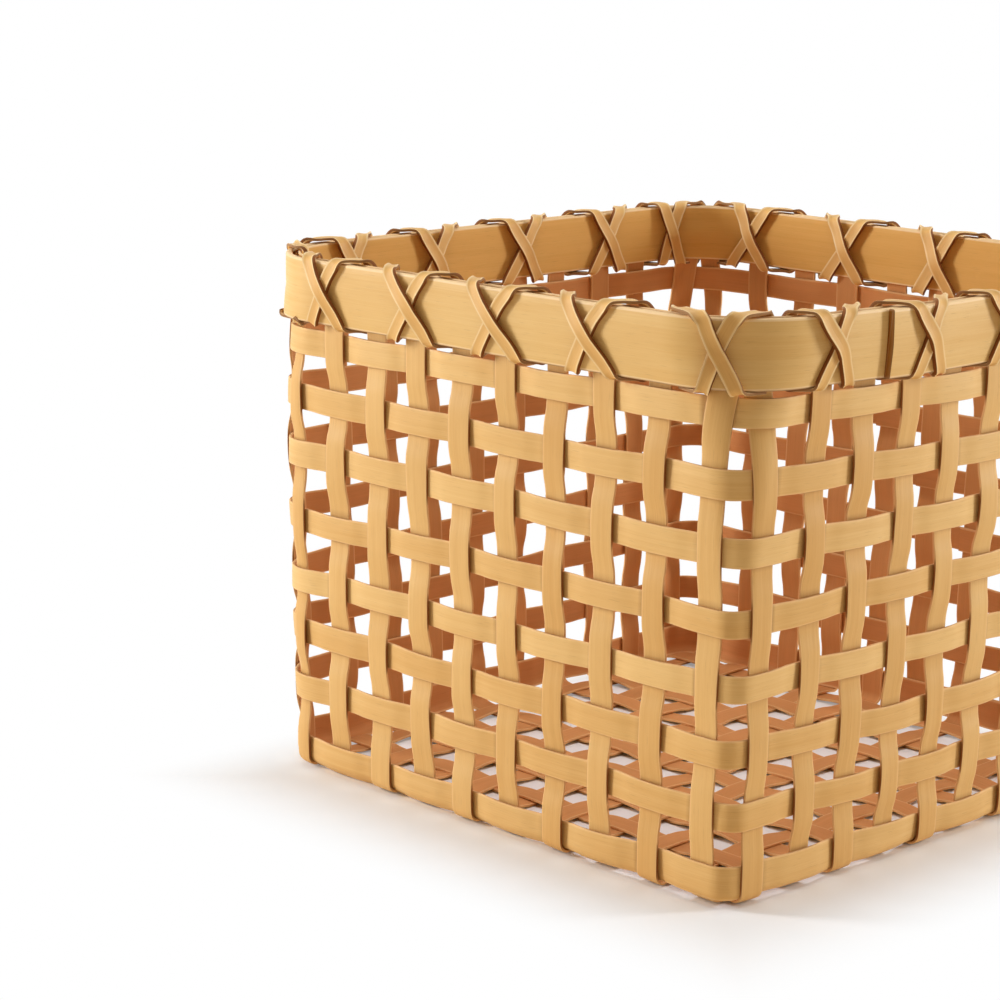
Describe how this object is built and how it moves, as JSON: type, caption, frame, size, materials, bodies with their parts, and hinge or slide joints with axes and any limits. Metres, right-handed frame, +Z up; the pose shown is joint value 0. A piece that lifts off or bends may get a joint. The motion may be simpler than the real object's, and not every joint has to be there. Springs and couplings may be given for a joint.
{
  "type": "woven storage basket",
  "caption": "Open square storage basket plaited from flat bamboo strips, with uprights running through the base, woven rows and a banded rim tied by crossed lashing.",
  "frame": {"origin": "on the ground under the middle of the basket", "axes": "+Z up out of the mouth; -Y is the front wall, on the left in the picture, and +X the right wall; the near corner of the picture lies between them"},
  "size_m": [0.2717, 0.2714, 0.2117],
  "materials": {
    "bamboo_stake": "smooth split bamboo skin",
    "bamboo_weaver": "smooth split bamboo skin",
    "bamboo_rim": "smooth split bamboo skin",
    "bamboo_lashing": "split cane, satin"
  },
  "bodies": {
    "root": {"stake_lengthwise_01": "bamboo_stake", "stake_lengthwise_02": "bamboo_stake", "stake_lengthwise_03": "bamboo_stake", "stake_lengthwise_04": "bamboo_stake", "stake_lengthwise_05": "bamboo_stake", "stake_lengthwise_06": "bamboo_stake", "stake_lengthwise_07": "bamboo_stake", "stake_lengthwise_08": "bamboo_stake", "stake_lengthwise_09": "bamboo_stake", "stake_lengthwise_10": "bamboo_stake", "stake_crosswise_01": "bamboo_stake", "stake_crosswise_02": "bamboo_stake", "stake_crosswise_03": "bamboo_stake", "stake_crosswise_04": "bamboo_stake", "stake_crosswise_05": "bamboo_stake", "stake_crosswise_06": "bamboo_stake", "stake_crosswise_07": "bamboo_stake", "stake_crosswise_08": "bamboo_stake", "stake_crosswise_09": "bamboo_stake", "stake_crosswise_10": "bamboo_stake", "weaver_01": "bamboo_weaver", "weaver_02": "bamboo_weaver", "weaver_03": "bamboo_weaver", "weaver_04": "bamboo_weaver", "weaver_05": "bamboo_weaver", "weaver_06": "bamboo_weaver", "weaver_07": "bamboo_weaver", "weaver_08": "bamboo_weaver", "rim_outer_band": "bamboo_rim", "rim_inner_band": "bamboo_rim", "rim_lashing_rising": "bamboo_lashing", "rim_lashing_falling": "bamboo_lashing"}
  },
  "joints": []
}
